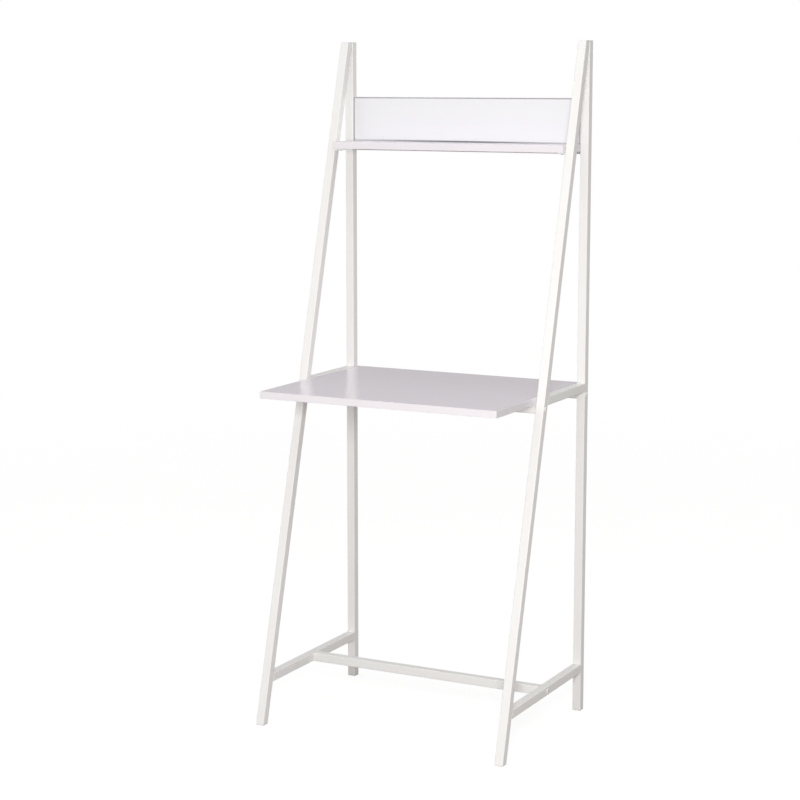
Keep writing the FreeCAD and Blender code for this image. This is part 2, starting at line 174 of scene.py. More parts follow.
def share_property(label, words, value):
    """A number from 0 to 1."""
    return FloatProperty(name=label, description=words, default=value, min=0, max=1, subtype="FACTOR")


def number_property(label, words, value):
    """A plain number above 0."""
    return FloatProperty(name=label, description=words, default=value, min=0)


def colour_property(label, words, value):
    """A colour."""
    return FloatVectorProperty(
        name=label, description=words, default=value, min=0, max=1, size=4, subtype="COLOR"
    )


def place_property(label, words, value):
    """A point."""
    return FloatVectorProperty(
        name=label, description=words, default=value, size=3, subtype="TRANSLATION", unit="LENGTH"
    )


def angle_property(label, words, value):
    """An angle."""
    return FloatProperty(name=label, description=words, default=value, subtype="ANGLE", unit="ROTATION")


class TubeSizes(bpy.types.PropertyGroup):
    """Square tube, its plugs and its welds."""

    corner: size_property("Corner", "Outer corner radius of the square tube", 0.0018)
    wall: size_property("Wall", "Wall of the square tube", 0.0012)
    plug_gap: size_property("Plug gap", "Between a plug's insert and the bore", 0.0001)
    plug_wall: size_property("Plug wall", "Wall of a plug's insert", 0.0016)
    plug_rim: size_property("Plug rim", "Rounding of a plug's outer rim", 0.0006)
    weld: size_property("Weld", "Side of a fillet weld", 0.0025)
    top_seam: size_property("Top seam", "Depth of the weld between the legs at the top", 0.014)
    ripple: size_property("Ripple", "Pitch of the ripples in a weld", 0.0019)
    ripple_share: share_property("Ripple depth", "Depth of a ripple as a share of the weld", 0.16)


class BoardSizes(bpy.types.PropertyGroup):
    """Boards, edge bands and tabs."""

    arris: size_property("Arris", "Bevel along the board's edges, beside the bands", 0.00025)
    seam_width: size_property("Seam", "Width of the dull line beside the bands", 0.0032)
    # The dark line where the shelf meets the panel is painted shade.
    joint_shade_width: size_property("Joint", "Width of the dark line where the shelf meets the panel", 0.0046)
    band_round: size_property("Band rounding", "Rounding of the bands' outer edges", 0.0005)
    tab_corner: size_property("Tab corner", "Corner radius of the steel tabs", 0.003)
    tab_arris: size_property("Tab arris", "Broken edge of the steel tabs", 0.0003)


class FastenerSizes(bpy.types.PropertyGroup):
    """Bolts and screws."""

    bolt_radius: size_property("Bolt", "Radius of a bolt's shank", 0.003)
    bolt_head: size_property("Bolt head", "Radius of a bolt's head", 0.0055)
    bolt_round: size_property("Bolt dome", "Rounding of a bolt's head", 0.0007)
    bolt_socket: size_property("Socket", "Radius of the hexagon socket, to its corners", 0.0023)
    bolt_socket_depth: size_property("Socket depth", "Depth of the hexagon socket", 0.0011)
    bolt_length: size_property("Bolt length", "Length under a bolt's head", 0.035)
    screw_radius: size_property("Screw", "Radius of a screw's shank", 0.002)
    screw_head: size_property("Screw head", "Radius of a screw's head", 0.0039)
    screw_height: size_property("Screw head height", "Height of a screw's head", 0.0017)
    screw_round: size_property("Screw dome", "Rounding of a screw's head", 0.001)
    screw_recess: size_property("Cross", "Length of the cross recess", 0.004)
    screw_recess_depth: size_property("Cross depth", "Depth of the cross recess", 0.0011)
    screw_tip: size_property("Screw tip", "Length of a screw's point", 0.0035)


class Finishes(bpy.types.PropertyGroup):
    """Colours and gloss of the desk's finishes."""

    coat: colour_property("Coating", "White powder coat of the frame", (0.906, 0.901, 0.889, 1))
    coat_warm: colour_property("Warm coating", "Warmer drift in the powder coat", (0.893, 0.876, 0.856, 1))
    coat_gloss: share_property("Coating roughness", "Least roughness of the powder coat", 0.29)
    board: colour_property("Board", "White melamine of the desk and shelf", (0.840, 0.793, 0.861, 1))
    board_streak: colour_property("Board streak", "Faint streak in the melamine", (0.815, 0.766, 0.836, 1))
    panel: colour_property("Panel", "White melamine of the back panel", (0.866, 0.869, 0.892, 1))
    panel_streak: colour_property("Panel streak", "Faint streak in the panel", (0.842, 0.846, 0.870, 1))
    # The seam colour is also the painted shade in the panel's joint with the shelf.
    seam: colour_property("Seam", "Thin line where a board meets its bands", (0.200, 0.195, 0.210, 1))
    seam_share: share_property("Seam strength", "Strength of the seam line on desk and shelf", 0.1)
    # On the panel this strength also sets the painted joint shade.
    panel_seam_and_shade_share: share_property("Panel seam strength", "Strength of the seam line on the panel", 0.95)
    board_gloss: share_property("Board roughness", "Least roughness of the melamine", 0.2)
    band: colour_property("Edge band", "Edge bands of the boards", (0.875, 0.843, 0.878, 1))
    band_streak: colour_property("Edge band streak", "Darker drift in the bands", (0.848, 0.808, 0.843, 1))
    band_gloss: share_property("Edge band roughness", "Least roughness of the edge bands", 0.34)
    plug: colour_property("Plug", "Moulded plastic of the plugs", (0.830, 0.830, 0.815, 1))
    plug_scuff: colour_property("Plug scuff", "Grey scuffs on the plugs", (0.681, 0.681, 0.668, 1))
    plug_gloss: share_property("Plug roughness", "Least roughness of the plugs", 0.5)
    bolt_gloss: share_property("Bolt roughness", "Least roughness of the bolts", 0.32)
    steel: colour_property("Steel", "Zinc plate on screws and blocks", (0.610, 0.615, 0.630, 1))
    # Dark steel is also the painted shade in the recesses of the screws and bolts.
    steel_dark: colour_property("Dark steel", "Dull patches in the zinc plate", (0.420, 0.420, 0.425, 1))
    steel_gloss: share_property("Steel roughness", "Least roughness of the zinc plate", 0.26)


class StageSettings(bpy.types.PropertyGroup):
    """Floor, light and camera."""

    camera_place: place_property("Camera", "Where the camera stands", (2.0252, -4.0075, 1.4700))
    camera_turn: angle_property("Turn", "Turn of the camera from looking along +Y", 0.4791)
    camera_tilt: angle_property("Tilt", "Tilt of the camera above level", -0.1599)
    lens: FloatProperty(name="Lens", description="Focal length", default=90.29, min=1, unit="CAMERA")
    key_place: place_property("Key light", "Where the key light stands", (1.45, -2.85, 1.45))
    key_power: FloatProperty(name="Key power", description="Key light", default=54, min=0, unit="POWER")
    key_side: size_property("Key side", "Side of the square key light", 0.7)
    fill_place: place_property("Fill light", "Where the fill light stands", (-1.97, -2.52, 1.0))
    fill_power: FloatProperty(name="Fill power", description="Fill light", default=7, min=0, unit="POWER")
    top_place: place_property("Top light", "Where the top light hangs", (0.0, -0.35, 3.0))
    top_power: FloatProperty(name="Top power", description="Top light", default=8, min=0, unit="POWER")
    light_side: size_property("Light side", "Side of the other square lights", 2.0)
    floor_radius: size_property("Floor", "Radius of the pale floor", 9.0)
    floor_dark: colour_property("Floor dark", "Darker tone of the floor", (0.30, 0.30, 0.30, 1))
    floor_light: colour_property("Floor light", "Lighter tone of the floor", (0.32, 0.32, 0.32, 1))
    floor_bounce: colour_property("Floor bounce", "Floor as the desk sees it", (0.45, 0.43, 0.415, 1))
    floor_glow: number_property("Floor glow", "Brightness added to the floor near the desk", 0.78)
    fade_start: size_property("Fade start", "Distance at which the floor starts to turn white", 1.2)
    fade_end: size_property("Fade end", "Distance at which the floor is white", 5.0)
    room: colour_property("Room", "Warm tint of the light from the room", (1.0, 0.985, 0.972, 1))
    horizon: number_property("Horizon", "Brightness of the room at eye level", 0.39)
    zenith: number_property("Zenith", "Brightness of the room overhead", 0.70)


class DeskSettings(bpy.types.PropertyGroup):
    """All that can be changed on the desk."""

    tube: PointerProperty(type=TubeSizes)
    board: PointerProperty(type=BoardSizes)
    fastener: PointerProperty(type=FastenerSizes)
    finish: PointerProperty(type=Finishes)
    stage: PointerProperty(type=StageSettings)


class Shade:
    """A node's output that takes part in Python expressions: each operator adds its Math node."""

    def __init__(self, tree, socket=None):
        self.tree = tree
        self.socket = socket

    def node(self, kind, settings=None, values=None, output=0):
        """Add a node: its settings first, then the values or links of its sockets."""
        node = self.tree.nodes.new(kind)
        for name, value in (settings or {}).items():
            setattr(node, name, value)
        for name, value in (values or {}).items():
            if isinstance(value, Shade):
                self.tree.links.new(value.socket, node.inputs[name])
            else:
                node.inputs[name].default_value = value
        return Shade(self.tree, node.outputs[output] if node.outputs else None)

    def math(self, operation, *terms):
        """Add a Math node."""
        return self.node("ShaderNodeMath", {"operation": operation}, dict(enumerate(terms)))

    def __add__(self, other):
        return self.math("ADD", self, other)

    def __radd__(self, other):
        return self.math("ADD", other, self)

    def __sub__(self, other):
        return self.math("SUBTRACT", self, other)

    def __rsub__(self, other):
        return self.math("SUBTRACT", other, self)

    def __mul__(self, other):
        return self.math("MULTIPLY", self, other)

    def __rmul__(self, other):
        return self.math("MULTIPLY", other, self)

    def pattern(self, name):
        """One of the noise patterns, from 0 to 1, in object coordinates."""
        repeats, layers = PATTERNS[name]
        point = self.node("ShaderNodeTexCoord", None, None, "Object")
        spread = self.node("ShaderNodeMapping", None, {"Vector": point, "Scale": repeats})
        values = {"Vector": spread, "Scale": 1.0, "Detail": layers}
        return self.node("ShaderNodeTexNoise", None, values, "Fac")

    def attribute(self, name):
        """A value that is stored on the mesh."""
        return self.node("ShaderNodeAttribute", {"attribute_name": name}, None, "Fac")

    def between(self, low, high, value):
        """0 below low, 1 above high, smooth in between."""
        values = {"Value": value, "From Min": low, "From Max": high}
        return self.node("ShaderNodeMapRange", {"interpolation_type": "SMOOTHSTEP"}, values)

    def blend(self, factor, first, second):
        """A colour between two colours."""
        return self.node("ShaderNodeMix", {"data_type": "RGBA"}, {0: factor, 6: first, 7: second}, 2)

    def bump(self, height, strength, distance):
        """A normal from a height."""
        values = {"Height": height, "Strength": strength, "Distance": distance}
        return self.node("ShaderNodeBump", None, values, "Normal")


def new_finish(name):
    """An empty material, ready for nodes."""
    material = bpy.data.materials.new(name)
    material.use_nodes = True
    material.node_tree.nodes.clear()
    return material, Shade(material.node_tree)


def show(shade, shader):
    """Connect a shader to the material's output."""
    shade.node("ShaderNodeOutputMaterial", None, {"Surface": shader})


def surface(shade, **values):
    """A surface shader, with the names of its sockets in plain words."""
    sockets = {name.replace("_", " ").title(): value for name, value in values.items()}
    show(shade, shade.node("ShaderNodeBsdfPrincipled", None, sockets))


def powder_coat(finish, name, peel_height):
    """Baked white powder coat: fine orange peel, a faint drift from neutral to warm, smudged gloss."""
    material, shade = new_finish(name)
    drift = shade.between(0.35, 0.68, shade.pattern("coat drift"))
    peel = shade.pattern("orange peel")
    surface(
        shade,
        base_color=shade.blend(drift * 0.6 + peel * 0.12, finish.coat, finish.coat_warm),
        roughness=finish.coat_gloss + shade.pattern("coat smudge") * 0.14,
        normal=shade.bump(peel, strength=0.35, distance=peel_height),
    )
    return material


def melamine(finish, name, face, faint, seam_share):
    """White melamine: faint streaks along the board, fine emboss, a dull seam line beside the bands, and on
    the panel painted shade where the shelf meets it.
    """
    material, shade = new_finish(name)
    streak = shade.pattern("board streak")
    thread = shade.pattern("board thread")
    # The seam mask also carries the painted shade in the panel's joint.
    seam = shade.between(0.0, 1.0, shade.attribute("seam"))
    plain = shade.blend(shade.between(0.3, 0.75, streak) * 0.3 + thread * 0.2, face, faint)
    surface(
        shade,
        base_color=shade.blend(seam * seam_share, plain, finish.seam),
        roughness=finish.board_gloss + streak * 0.02 + thread * 0.02,
        normal=shade.bump(shade.pattern("board emboss"), strength=0.12, distance=EMBOSS_HEIGHT),
    )
    return material


def edge_band(finish, name):
    """Extruded plastic band: long fine draw lines and a soft sheen."""
    material, shade = new_finish(name)
    drift = shade.between(0.3, 0.75, shade.pattern("band drift"))
    line = shade.pattern("band line")
    surface(
        shade,
        base_color=shade.blend(drift * 0.7 + line * 0.2, finish.band, finish.band_streak),
        roughness=finish.band_gloss + line * 0.14,
        normal=shade.bump(line, strength=0.15, distance=BAND_LINE_HEIGHT),
    )
    return material


def moulded_plastic(finish, name):
    """Matt moulded plastic of the plugs, with a spark-eroded texture and slight grey scuffs."""
    material, shade = new_finish(name)
    texture = shade.pattern("plastic texture")
    scuff = shade.between(0.52, 0.78, shade.pattern("plastic scuff"))
    surface(
        shade,
        base_color=shade.blend(scuff * 0.5, finish.plug, finish.plug_scuff),
        roughness=finish.plug_gloss + texture * 0.16,
        normal=shade.bump(texture, strength=0.4, distance=PLASTIC_HEIGHT),
    )
    return material


def bolt_coat(finish, name):
    """White coating on the bolts, turning to dark metal towards the bottom of the socket as painted shade.
    """
    material, shade = new_finish(name)
    grain = shade.pattern("bolt grain")
    # Painted shade: the socket darkens to dull metal towards its bottom.
    socket_shade = shade.between(0.35, 0.9, shade.attribute("recess") * 0.9 + grain * 0.25)
    surface(
        shade,
        base_color=shade.blend(socket_shade, finish.coat, finish.steel_dark),
        metallic=socket_shade * 0.8,
        roughness=finish.bolt_gloss + grain * 0.16,
        normal=shade.bump(grain, strength=0.25, distance=BOLT_GRAIN_HEIGHT),
    )
    return material


def zinc_plate(finish, name, line_pattern):
    """Zinc-plated steel: cloudy plate with fine turning or drawing lines."""
    material, shade = new_finish(name)
    cloud = shade.pattern("plate cloud")
    line = shade.pattern(line_pattern)
    # Dull patches at random, and painted shade towards the bottom of the recess.
    patches_and_recess_shade = cloud * 0.55 + shade.attribute("recess") * 0.4
    surface(
        shade,
        base_color=shade.blend(patches_and_recess_shade, finish.steel, finish.steel_dark),
        metallic=1.0,
        roughness=finish.steel_gloss + cloud * 0.16 + line * 0.08,
        normal=shade.bump(line, strength=0.2, distance=PLATE_LINE_HEIGHT),
    )
    return material


def desk_finish(context, kind):
    """One of the desk's finishes, made on first use."""
    finish = context.scene.ladder_desk.finish
    makers = {
        "white_powder_coat": (powder_coat, PEEL_HEIGHT),
        "coated_weld": (powder_coat, WELD_PEEL_HEIGHT),
        "white_melamine": (melamine, finish.board, finish.board_streak, finish.seam_share),
        "panel_melamine": (melamine, finish.panel, finish.panel_streak, finish.panel_seam_and_shade_share),
        "white_edge_band": (edge_band,),
        "white_moulded_plastic": (moulded_plastic,),
        "white_bolt_coat": (bolt_coat,),
        "zinc_screw": (zinc_plate, "turning line"),
        "drawn_steel": (zinc_plate, "drawing line"),
    }
    make, *looks = makers[kind]
    return bpy.data.materials.get(kind) or make(finish, kind, *looks)


def add_piece(context, name, bm, kind, slot, *nodes):
    """Turn a bmesh into a finished piece that rides on the desk and stands for its CAD nodes."""
    bmesh.ops.remove_doubles(bm, verts=bm.verts, dist=MERGE_DISTANCE)
    bmesh.ops.recalc_face_normals(bm, faces=bm.faces)
    mesh = bpy.data.meshes.new(name)
    bm.to_mesh(mesh)
    bm.free()
    mesh.shade_smooth()
    mesh.set_sharp_from_angle(angle=SMOOTH_ANGLE)
    mesh.materials.append(desk_finish(context, kind))
    piece = bpy.data.objects.new(name, mesh)
    context.scene.collection.objects.link(piece)
    weighted = piece.modifiers.new("Flat faces stay flat", "WEIGHTED_NORMAL")
    weighted.keep_sharp = True
    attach(piece, BODY)
    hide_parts(*nodes)
    return piece


def verts_of(geometry):
    """The vertices among an operator's results."""
    return [item for item in geometry if isinstance(item, bmesh.types.BMVert)]


def edges_of(geometry):
    """The edges among an operator's results."""
    return [item for item in geometry if isinstance(item, bmesh.types.BMEdge)]


def faces_of(geometry):
    """The faces among an operator's results."""
    return [item for item in geometry if isinstance(item, bmesh.types.BMFace)]


def each_once(edges):
    """Edges without repeats, in the order they come."""
    return list(dict.fromkeys(edges))


def extrude(bm, faces, step):
    """Extrude faces by a step and return the faces at the far end. Joined faces leave none behind."""
    edges = each_once(edge for face in faces for edge in face.edges)
    made = bmesh.ops.extrude_face_region(bm, geom=[*faces, *edges])["geom"]
    bmesh.ops.translate(bm, vec=step, verts=verts_of(made))
    return faces_of(made)


def round_edges(bm, edges, radius, steps=ROUND_STEPS):
    """Round edges over."""
    bmesh.ops.bevel(
        bm, geom=edges, offset=radius, affect="EDGES", segments=steps, profile=0.5, material=-1
    )


def rounded_square(bm, size, corner):
    """A flat square face with rounded corners, centred on the XY plane."""
    made = bmesh.ops.create_grid(bm, x_segments=1, y_segments=1, size=size / 2)
    bmesh.ops.bevel(
        bm,
        geom=made["verts"],
        offset=corner,
        affect="VERTICES",
        segments=CORNER_STEPS,
        profile=0.5,
        material=-1,
    )
    return bm.faces[:]


def inset(bm, faces, thickness):
    """Inset faces evenly. The faces shrink, and the new rim is returned."""
    made = bmesh.ops.inset_region(
        bm, faces=faces, thickness=thickness, use_boundary=True, use_even_offset=True
    )
    return made["faces"]


def square_tube(bm, tube, length):
    """A hollow square tube that stands on the XY plane."""
    core = rounded_square(bm, TUBE, tube.corner)
    rim = inset(bm, core, tube.wall)
    bmesh.ops.delete(bm, geom=core, context="FACES")
    extrude(bm, rim, UP * length)


def place(bm, *matrices):
    """Move a whole bmesh through matrices, the last one first."""
    moved = Matrix.Identity(4)
    for matrix in matrices:
        moved = moved @ matrix
    bmesh.ops.transform(bm, matrix=moved, verts=bm.verts)


def leg_tube(tube, node, shape):
    """One leg, cut level at both ends."""
    low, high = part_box(node)
    depth = LEG_LEVEL_DEPTH if shape is LEANING else TUBE
    bm = bmesh.new()
    square_tube(bm, tube, high.z - low.z)
    place(bm, Matrix.Translation(((low.x + high.x) / 2, low.y + depth / 2, low.z)), shape)
    return bm


def end_plug(tube, flange, depth):
    """A plastic plug on the XY plane: a flange with a rounded rim, and a hollow insert above it."""
    bm = bmesh.new()
    outer = rounded_square(bm, TUBE, tube.corner)
    rim_edges = list(outer[0].edges)
    seat = extrude(bm, outer, UP * flange)
    round_edges(bm, rim_edges, tube.plug_rim)
    inset(bm, seat, tube.wall + tube.plug_gap)
    end = extrude(bm, seat, UP * depth)
    inset(bm, end, tube.plug_wall)
    extrude(bm, end, UP * -depth)
    return bm


def side_rail(tube, node):
    """A side rail, its front end cut to the slope of the front leg."""
    low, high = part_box(node)
    middle = (low + high) / 2
    bm = bmesh.new()
    start = leg_back(0)
    square_tube(bm, tube, REAR_LEG_FRONT - start)
    place(bm, Matrix.Translation((middle.x, start, middle.z)), ALONG_Y)
    cut = [vert for vert in bm.verts if vert.co.y < start + TUBE]
    shear = Matrix.Identity(4)
    shear[Y][Z] = SLOPE
    bmesh.ops.transform(bm, matrix=shear, verts=cut)
    return bm


def cross_tube(tube, node):
    """A tube across the desk."""
    low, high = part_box(node)
    middle = (low + high) / 2
    bm = bmesh.new()
    square_tube(bm, tube, high.x - low.x)
    place(bm, Matrix.Translation((low.x, middle.y, middle.z)), ALONG_X)
    return bm


def ripple_sizes(length, tube):
    """Relative size of a weld at even steps along it: slim ends, with crests and hollows between them."""
    ripples = max(2, round(length / tube.ripple))
    hollow = 1 - tube.ripple_share
    body = [1.0 if step % 2 else hollow for step in range(2 * ripples - 1)]
    return [hollow / 2] + body + [hollow / 2]


def weld_bead(bm, tube, corner, toward, up, run):
    """A rippled fillet weld in the corner between two directions, drawn along a run."""
    turns = [math.pi / 2 * step / WELD_STEPS for step in range(WELD_STEPS + 1)]
    rim = [(toward * math.cos(turn) + up * math.sin(turn)) * tube.weld for turn in turns]
    sizes = ripple_sizes(run.length, tube)
    section = [corner] + [corner + point * sizes[0] for point in rim]
    faces = [bm.faces.new([bm.verts.new(point) for point in section])]
    step = run / (len(sizes) - 1)
    for number in range(1, len(sizes)):
        faces = extrude(bm, faces, step)
        growth = sizes[number] / sizes[number - 1]
        centre = Matrix.Translation(-(corner + step * number))
        bmesh.ops.scale(bm, vec=(growth, growth, growth), space=centre, verts=list(faces[0].verts))


def top_seam(bm, tube, x):
    """The weld that fills the wedge between the legs at the top, rippled down both sides."""
    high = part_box("left_rear_leg")[1].z
    flat = TUBE - 2 * tube.corner
    sizes = ripple_sizes(tube.top_seam, tube)
    made = bmesh.ops.create_grid(bm, x_segments=1, y_segments=1, size=0.5)
    gap = REAR_LEG_FRONT - leg_back(high)
    bmesh.ops.scale(bm, vec=(flat * sizes[1], gap, 1), verts=made["verts"])
    bmesh.ops.translate(bm, vec=(x, REAR_LEG_FRONT - gap / 2, high), verts=made["verts"])
    faces = list(made["verts"][0].link_faces)
    drop = tube.top_seam / (len(sizes) - 2)
    for number in range(2, len(sizes)):
        faces = extrude(bm, faces, UP * -drop)
        height = high - drop * (number - 1)
        wider = (REAR_LEG_FRONT - leg_back(height)) / (REAR_LEG_FRONT - leg_back(height + drop))
        growth = (sizes[number] / sizes[number - 1], wider, 1)
        centre = Matrix.Translation((-x, -REAR_LEG_FRONT, 0))
        bmesh.ops.scale(bm, vec=growth, space=centre, verts=list(faces[0].verts))


def rail_welds(bm, tube, node):
    """The four beads at the ends of one rail."""
    low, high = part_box(node)
    flat = TUBE - 2 * tube.corner
    x = (low.x + high.x - flat) / 2
    run = RIGHT * flat
    for height, sense in ((high.z, 1), (low.z, -1)):
        weld_bead(bm, tube, Vector((x, leg_back(height), height)), BACK, LEG_AXIS * sense, run)
        weld_bead(bm, tube, Vector((x, REAR_LEG_FRONT, height)), BACK * -1, UP * sense, run)


def tab_welds(bm, tube, side_name, side):
    """The beads that hold the tabs to the side frame."""
    inward = RIGHT * -side
    low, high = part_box(f"{side_name}_shelf_tab")
    weld_bead(bm, tube, Vector((side * INNER_HALF, low.y, low.z)), inward, UP * -1, BACK * (high.y - low.y))
    low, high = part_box(f"{side_name}_panel_tabs")
    run = BACK * (high.y - low.y)
    for bottom, top in tab_heights(side_name):
        weld_bead(bm, tube, Vector((side * INNER_HALF, low.y, top)), inward, UP, run)
        weld_bead(bm, tube, Vector((side * INNER_HALF, low.y, bottom)), inward, UP * -1, run)


def tab_heights(side_name):
    """Lowest and highest point of each tab behind the back panel."""
    low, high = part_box(f"{side_name}_panel_tabs")
    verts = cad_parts[f"{side_name}_panel_tabs"].data.vertices
    middle = (low.z + high.z) / 2
    lower_top = max(vert.co.z for vert in verts if vert.co.z < middle)
    upper_bottom = min(vert.co.z for vert in verts if vert.co.z > middle)
    return [(low.z, lower_top), (upper_bottom, high.z)]


def slab(bm, low, high):
    """A block between two corners. Its edges are returned."""
    made = bmesh.ops.create_cube(bm, size=1.0)
    bmesh.ops.scale(bm, vec=Vector(high) - Vector(low), verts=made["verts"])
    bmesh.ops.translate(bm, vec=(Vector(low) + Vector(high)) / 2, verts=made["verts"])
    return each_once(edge for vert in made["verts"] for edge in vert.link_edges)


def runs_along(edge, axis):
    """Whether an edge runs along an axis."""
    step = edge.verts[1].co - edge.verts[0].co
    return abs(step[axis]) > step.length / 2


def tab(bm, board, low, high, side, thickness_axis):
    """A steel tab with rounded free corners."""
    edges = slab(bm, low, high)
    free = low[X] if side > 0 else high[X]
    across = [edge for edge in edges if runs_along(edge, thickness_axis)]
    corners = [edge for edge in across if abs(edge.verts[0].co.x - free) < MERGE_DISTANCE]
    round_edges(bm, corners, board.tab_corner, CORNER_STEPS)


def break_edges(bm, board, thickness_axis):
    """Break the edges round the flat faces of the tabs."""
    outline = [edge for edge in bm.edges if not runs_along(edge, thickness_axis)]
    sharp = [edge for edge in outline if edge.calc_face_angle() > SMOOTH_ANGLE]
    round_edges(bm, sharp, board.tab_arris, 1)


def faced_board(board, low, high):
    """A board with finely bevelled edges. The border of each face is marked for the seam line."""
    bm = bmesh.new()
    round_edges(bm, slab(bm, low, high), board.arris, ARRIS_STEPS)
    seam = bm.verts.layers.float.new("seam")
    for vert in bm.verts:
        vert[seam] = 1.0
    faces = sorted(bm.faces, key=lambda face: face.calc_area())[-2:]
    inset(bm, faces, board.seam_width)
    for face in faces:
        for vert in face.verts:
            vert[seam] = 0.0
    return bm


def slice_through(bm, point, normal):
    """Cut new edges where a plane passes, and return their vertices."""
    geometry = bm.verts[:] + bm.edges[:] + bm.faces[:]
    return verts_of(bmesh.ops.bisect_plane(bm, geom=geometry, plane_co=point, plane_no=normal)["geom_cut"])


def paint_joint_shade(bm, board, height):
    """Paint shade on the panel's front: a dark line where the shelf meets it, and a dark strip below the
    shelf down to the panel's foot.
    """
    seam = bm.verts.layers.float["seam"]
    front = min(vert.co.y for vert in bm.verts)
    foot = min(vert.co.z for vert in bm.verts)
    half = max(vert.co.x for vert in bm.verts)
    slice_through(bm, Vector(), RIGHT)
    slice_through(bm, UP * (height + board.joint_shade_width), UP)
    for level in (foot + board.seam_width, height, height + board.joint_shade_width / 2):
        for vert in slice_through(bm, UP * level, UP):
            if vert.co.y < front + board.arris:
                vert[seam] = max(vert[seam], 1 - JOINT_SHADE_FADE * abs(vert.co.x) / half)


def banded_strip(bm, board, low, high, outward, length_axis):
    """One edge band, with the long edges of its outer face rounded."""
    edges = slab(bm, low, high)
    axis = max(range(3), key=lambda number: abs(outward[number]))
    face = high[axis] if outward[axis] > 0 else low[axis]
    long_edges = [edge for edge in edges if runs_along(edge, length_axis)]
    outer = [edge for edge in long_edges if abs(edge.verts[0].co[axis] - face) < MERGE_DISTANCE]
    round_edges(bm, outer, board.band_round)


def edge_strips(bm, board, core_node, band_node):
    """The four bands round a board: two long ones and two between them."""
    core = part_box(core_node)
    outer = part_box(band_node)
    breadth = Z if core_node == "back_panel" else Y
    for end, sense in ((0, -1), (1, 1)):
        long_strip = [Vector(outer[0]), Vector(outer[1])]
        long_strip[1 - end][breadth] = core[end][breadth]
        outward = Vector()
        outward[breadth] = sense
        banded_strip(bm, board, *long_strip, outward, X)
        end_strip = [Vector(core[0]), Vector(core[1])]
        end_strip[end].x = outer[end].x
        end_strip[1 - end].x = core[end].x
        banded_strip(bm, board, *end_strip, RIGHT * sense, breadth)


def circle(radius):
    """The outline of a round section."""
    return lambda turn: radius


def hexagon(radius):
    """The outline of a hexagon, by the radius to its corners."""
    sixth = math.pi / 3
    return lambda turn: radius * math.cos(sixth / 2) / math.cos(turn % sixth - sixth / 2)


def cross(length):
    """The outline of a cross recess."""
    quarter = math.pi / 2

    def outline(turn):
        off = abs((turn + quarter / 2) % quarter - quarter / 2)
        return length / 2 / math.cos(off) if off < CROSS_ARM else length * CROSS_WAIST_SHARE

    return outline


def set_ring(verts, outline, height):
    """Lay a ring of vertices on an outline."""
    for vert in verts:
        turn = math.atan2(vert.co.y, vert.co.x)
        radius = outline(turn)
        vert.co = (radius * math.cos(turn), radius * math.sin(turn), height)


def turned_fastener(rings):
    """A fastener on the Z axis, drawn ring by ring from the bottom of its recess to its far end."""
    bm = bmesh.new()
    recess = bm.verts.layers.float.new("recess")
    verts = bmesh.ops.create_circle(bm, cap_ends=True, segments=FASTENER_STEPS, radius=1.0)["verts"]
    set_ring(verts, *rings[0])
    # The bottom ring of the recess is marked; the finishes paint shade into the recess with this mark.
    for vert in verts:
        vert[recess] = 1.0
    edges = each_once(edge for vert in verts for edge in vert.link_edges)
    for outline, height in rings[1:]:
        made = bmesh.ops.extrude_edge_only(bm, edges=edges)["geom"]
        set_ring(verts_of(made), outline, height)
        for vert in verts_of(made):
            vert[recess] = 0.0
        edges = edges_of(made)
    bmesh.ops.edgeloop_fill(bm, edges=edges)
    return bm


def dome(radius, height, rounding):
    """Rings of a rounded head, from its top to its seat on the plane z = 0."""
    flat = radius - rounding
    rings = []
    for step in range(CORNER_STEPS + 1):
        turn = math.pi / 2 * step / CORNER_STEPS
        level = rounding - height - rounding * math.cos(turn)
        rings.append((circle(flat + rounding * math.sin(turn)), level))
    return rings + [(circle(radius), 0)]


def bolt(fastener, height):
    """A low-head bolt along +Z with a hexagon socket."""
    socket = hexagon(fastener.bolt_socket)
    chamfer = fastener.bolt_radius * BOLT_CHAMFER_SHARE
    rings = [(socket, fastener.bolt_socket_depth - height), (socket, -height)]
    rings += dome(fastener.bolt_head, height, fastener.bolt_round)
    rings.append((circle(fastener.bolt_radius), 0))
    rings.append((circle(fastener.bolt_radius), fastener.bolt_length - chamfer))
    rings.append((circle(fastener.bolt_radius - chamfer), fastener.bolt_length))
    return turned_fastener(rings)


def wood_screw(fastener, length):
    """A pan-head screw along +Z with a cross recess and a pointed end."""
    height = fastener.screw_height
    rings = [
        (cross(fastener.screw_recess * CROSS_TAPER_SHARE), fastener.screw_recess_depth - height),
        (cross(fastener.screw_recess), -height),
    ]
    rings += dome(fastener.screw_head, height, fastener.screw_round)
    rings.append((circle(fastener.screw_radius), 0))
    rings.append((circle(fastener.screw_radius), length - fastener.screw_tip))
    rings.append((circle(fastener.screw_radius * SCREW_POINT_SHARE), length))
    return turned_fastener(rings)


def facing(seat, direction):
    """Placement of a fastener that is driven from its seat in a direction."""
    return Matrix.Translation(seat) @ direction.to_track_quat("Z", "Y").to_matrix().to_4x4()


def set_out(bm, seats, direction):
    """Copy the fastener at the origin to every seat, and remove the original."""
    pattern = bm.verts[:] + bm.edges[:] + bm.faces[:]
    for seat in seats:
        copied = bmesh.ops.duplicate(bm, geom=pattern)["geom"]
        bmesh.ops.transform(bm, matrix=facing(seat, direction), verts=verts_of(copied))
    bmesh.ops.delete(bm, geom=verts_of(pattern), context="VERTS")


def join(bm, other):
    """Add another bmesh to this one."""
    mesh = bpy.data.meshes.new("joined")
    other.to_mesh(mesh)
    other.free()
    bm.from_mesh(mesh)
    bpy.data.meshes.remove(mesh)


def desk_screw_seats():
    """Head seats under the crossbars."""
    seats = []
    for node in ("front_crossbar", "rear_crossbar"):
        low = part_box(node)[0]
        seats += [Vector((share * INNER_HALF, box_middle(node).y, low.z)) for share in DESK_SCREW_SHARES]
    return seats


